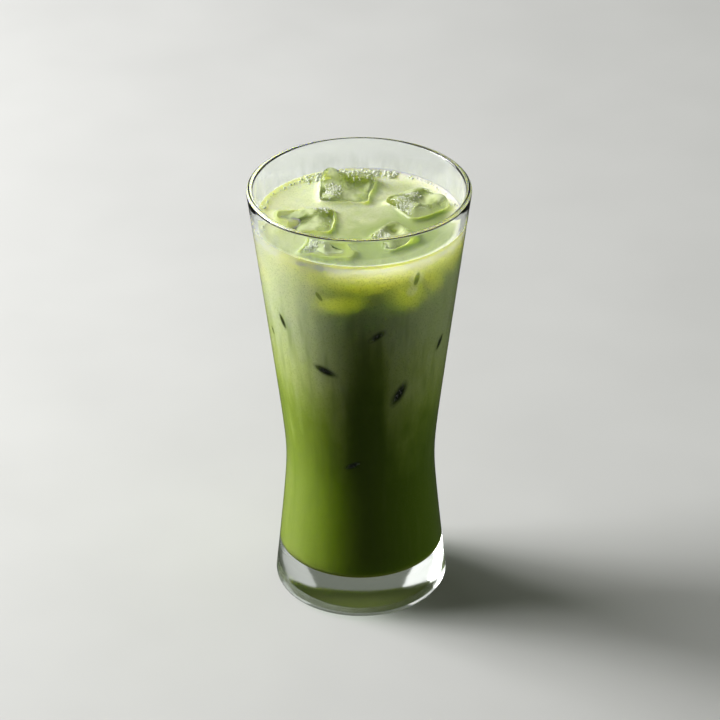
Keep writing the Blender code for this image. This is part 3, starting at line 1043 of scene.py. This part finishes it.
def raise_edges(drink, trees):
    """Lift the drink's surface where it clings to the ice, and ripple it a little."""
    for point in drink.data.vertices:
        if point.co.z < DRINK_LEVEL - LEVEL_TOLERANCE:
            continue
        spot = Vector((point.co.x, point.co.y, DRINK_LEVEL + PROBE_HEIGHT))
        nearest = min(tree.find_nearest(spot)[3] for tree in trees)
        to_wall = inner_radius(DRINK_LEVEL) - math.hypot(point.co.x, point.co.y)
        calm = min(1.0, max(0.0, to_wall / CALM_WIDTH))
        ripple = RIPPLE_HEIGHT * noise.noise(spot / RIPPLE_SPACING) * calm
        point.co.z += ICE_MENISCUS_RISE * math.exp(-nearest / ICE_MENISCUS_WIDTH) * calm + ripple


def mark_ice_below(drink, trees):
    """Note at each point of the surface how thinly the drink covers the ice below it."""
    marks = drink.data.attributes.new("over_ice", "FLOAT", "POINT")
    for point, mark in zip(drink.data.vertices, marks.data):
        if point.co.z < DRINK_LEVEL - SURFACE_BAND:
            continue
        start = point.co + Vector((0.0, 0.0, RAY_LIFT))
        depths = [tree.ray_cast(start, (0.0, 0.0, -1.0), COVER_DEPTH)[3] for tree in trees]
        depths = [depth for depth in depths if depth is not None]
        mark.value = 1.0 - min(depths) / COVER_DEPTH if depths else 0.0


def ice_pocket(name):
    """The top of a worn block, drawn in a little, which hollows the drink round it."""
    pocket = worn_node(name)
    offset(pocket, -INTO_ICE)
    cut = bmesh.ops.bisect_plane(
        pocket, geom=pocket.verts[:] + pocket.edges[:] + pocket.faces[:],
        plane_co=(0.0, 0.0, DRINK_LEVEL - POCKET_DEPTH), plane_no=(0, 0, 1), clear_inner=True,
    )
    rim = [part for part in cut["geom_cut"] if isinstance(part, bmesh.types.BMEdge)]
    bmesh.ops.edgeloop_fill(pocket, edges=rim)
    face_outwards(pocket)
    return pocket


def make_drink(tree, material):
    """The drink as one body, hollowed where ice sits in it."""
    drink = turned("matcha_latte", tree, drink_outline(), material)
    trees = ice_trees()
    raise_edges(drink, trees)
    cutter = joined([ice_pocket(name) for name in ICE_NODES], "pockets", material)
    boolean = drink.modifiers.new("pockets", "BOOLEAN")
    boolean.operation = "DIFFERENCE"
    boolean.solver = "EXACT"
    boolean.object = cutter
    baked(drink)
    bpy.data.objects.remove(cutter, do_unlink=True)
    drink.data.shade_smooth()
    drink.data.set_sharp_from_angle(angle=CREASE_ANGLE)
    mark_ice_below(drink, trees)
    return drink


# ---- studio


def add_light(name, place, size, power, colour):
    """A rectangular studio light aimed at the middle of the glass."""
    lamp = bpy.data.lights.new(name, "AREA")
    lamp.shape = "RECTANGLE"
    lamp.size, lamp.size_y = size
    lamp.energy = power
    lamp.color = linear(colour)[:3]
    holder = bpy.data.objects.new(name, lamp)
    holder.location = place
    towards = Vector((0.0, 0.0, GLASS_HEIGHT / 2)) - holder.location
    holder.rotation_euler = towards.to_track_quat("-Z", "Y").to_euler()
    bpy.context.scene.collection.objects.link(holder)
    return holder


def make_studio():
    """Pale floor, soft light from the left and behind, and a gentle fill from the right."""
    form = bmesh.new()
    bmesh.ops.create_grid(form, x_segments=2, y_segments=2, size=FLOOR_HALF_WIDTH)
    floor = object_from(form, "studio_floor", pale_paper())
    floor.visible_diffuse = False
    floor.visible_glossy = False
    for name, settings in SOFTBOXES.items():
        add_light(name, *settings)
    for name, (*settings, shape, turn, spread) in HIDDEN_LIGHTS.items():
        light = add_light(name, *settings)
        light.data.shape = shape
        light.data.spread = math.radians(spread)
        light.rotation_euler = (math.radians(turn), 0.0, 0.0)
        light.visible_camera = light.visible_glossy = light.visible_transmission = False

    world = bpy.data.worlds.new("studio")
    world.use_nodes = True
    tree = world.node_tree
    # Seen through glass the room is brighter than the one that lights the drink.
    path = add(tree, "ShaderNodeLightPath").outputs
    through = add(tree, "ShaderNodeMath", {
        0: path["Transmission Depth"], 1: path["Is Diffuse Ray"]}, operation="SUBTRACT", use_clamp=True)
    strength = add(tree, "ShaderNodeMapRange", {
        "Value": through, "To Min": ROOM_LIGHT, "To Max": ROOM_THROUGH_GLASS})
    give(tree, tree.nodes["Background"], {"Color": linear("EDF5E4"), "Strength": strength})
    bpy.context.scene.world = world
    bpy.context.scene.view_settings.view_transform = "Standard"


def make_camera():
    """Long lens, a little above the rim, as the drink is served."""
    lens = bpy.data.cameras.new("camera")
    lens.sensor_width = SENSOR_WIDTH
    lens.lens = FOCAL_LENGTH
    camera = bpy.data.objects.new("camera", lens)
    elevation = math.radians(VIEW_ELEVATION)
    back, up = VIEW_DISTANCE * math.cos(elevation), VIEW_DISTANCE * math.sin(elevation)
    camera.location = (0.0, -back, VIEW_HEIGHT + up)
    tilt = Matrix.Rotation(math.pi / 2 - elevation, 3, "X")
    roll = Matrix.Rotation(math.radians(VIEW_ROLL), 3, "Z")
    camera.rotation_euler = (tilt @ roll).to_euler()
    bpy.context.scene.collection.objects.link(camera)
    bpy.context.scene.camera = camera


# ---- build


def dress(piece, slot, *nodes):
    """Tie a piece to the body and hide the nodes that it stands for. The slot is not used."""
    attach(piece, "root")
    if nodes:
        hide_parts(*nodes)


def make_ice():
    """The blocks that poke out, each in place of its own node, and the skin of milk on them."""
    material = wet_ice("clear_ice", "FAFDF8", "F4F8F0")
    blocks = {}
    veils = []
    for name in ICE_NODES:
        blocks[name] = ice_block(name, material)
        dress(blocks[name], "ice", name)
        veils.append(form_of(blocks[name].data))
        offset(veils[-1], VEIL_THICKNESS)
    dress(joined(veils, "milk_on_ice", milk_veil()), "milky_matcha")
    return blocks


def make_bubbles(blocks, material):
    """Small bubbles caught on the blocks, where they also stand in for painted glints."""
    tree = crust_tree()
    crusts = []
    for seed, (name, place, radius, number) in enumerate(GLINT_BUBBLE_SPOTS):
        bubbles = shape_by_nodes("bubbles", tree, {
            "Spot": Vector(place) * MM, "Radius": radius * MM, "Density": number / MM ** 2, "Seed": seed,
            "Smallest": SMALLEST_ON_ICE, "Largest": LARGEST_ON_ICE, "Material": material,
        }, blocks[name].data.copy())
        crusts.append(form_of(bubbles.data))
        bpy.data.objects.remove(bubbles, do_unlink=True)
    dress(joined(crusts, "glint_bubbles_on_ice", material), "milky_matcha")


def make_froth(material):
    """Froth along three stretches of the wall."""
    tree = froth_tree()
    for name, (count, seed, start, sweep, largest, spread) in FROTH_STRETCHES.items():
        bubbles = shape_by_nodes(name, tree, {
            "Count": count, "Seed": seed, "Ring Radius": inner_radius(DRINK_LEVEL),
            "Level": DRINK_LEVEL + MENISCUS_RISE * FROTH_LIFT, "Spread": spread * MM,
            "Start Angle": math.radians(start), "Sweep Angle": math.radians(sweep),
            "Smallest": SMALLEST_IN_FROTH, "Largest": largest * MM, "Material": material,
        })
        dress(bubbles, "milky_matcha")


def make_film(tree):
    """The milky film on the wall above the drink."""
    heights = between(DRINK_LEVEL, DRINK_LEVEL + FILM_HEIGHT, FILM_STEPS)
    outline = [(inner_radius(height) - FILM_OUTSIDE, height) for height in heights]
    outline += [(inner_radius(height) - FILM_INSIDE, height) for height in reversed(heights)]
    outline.append(outline[0])
    dress(turned("milk_film", tree, outline, milk_film()), "milky_matcha")


def build():
    """Make the studio, the camera and every piece."""
    make_camera()
    make_studio()
    turning = turning_tree()
    foam = milk_froth()
    dress(turned("waisted_tumbler", turning, glass_outline(), soda_lime_glass()), "glass", "glass")
    dress(make_drink(turning, matcha_latte()), "milky_matcha", "drink_matcha", "drink_milky")
    make_bubbles(make_ice(), foam)
    # Painted shade: the sunk ice is tinted a darker green and lets less lamp light through, for the dark
    # inside of the drink.
    deep_ice = wet_ice("ice_in_the_dark", "B4C098", "8C987C")
    dress(joined([sunk_block(spot) for spot in SUNK_ICE], "sunk_ice", deep_ice), "ice")
    make_froth(foam)
    make_film(turning)


build()
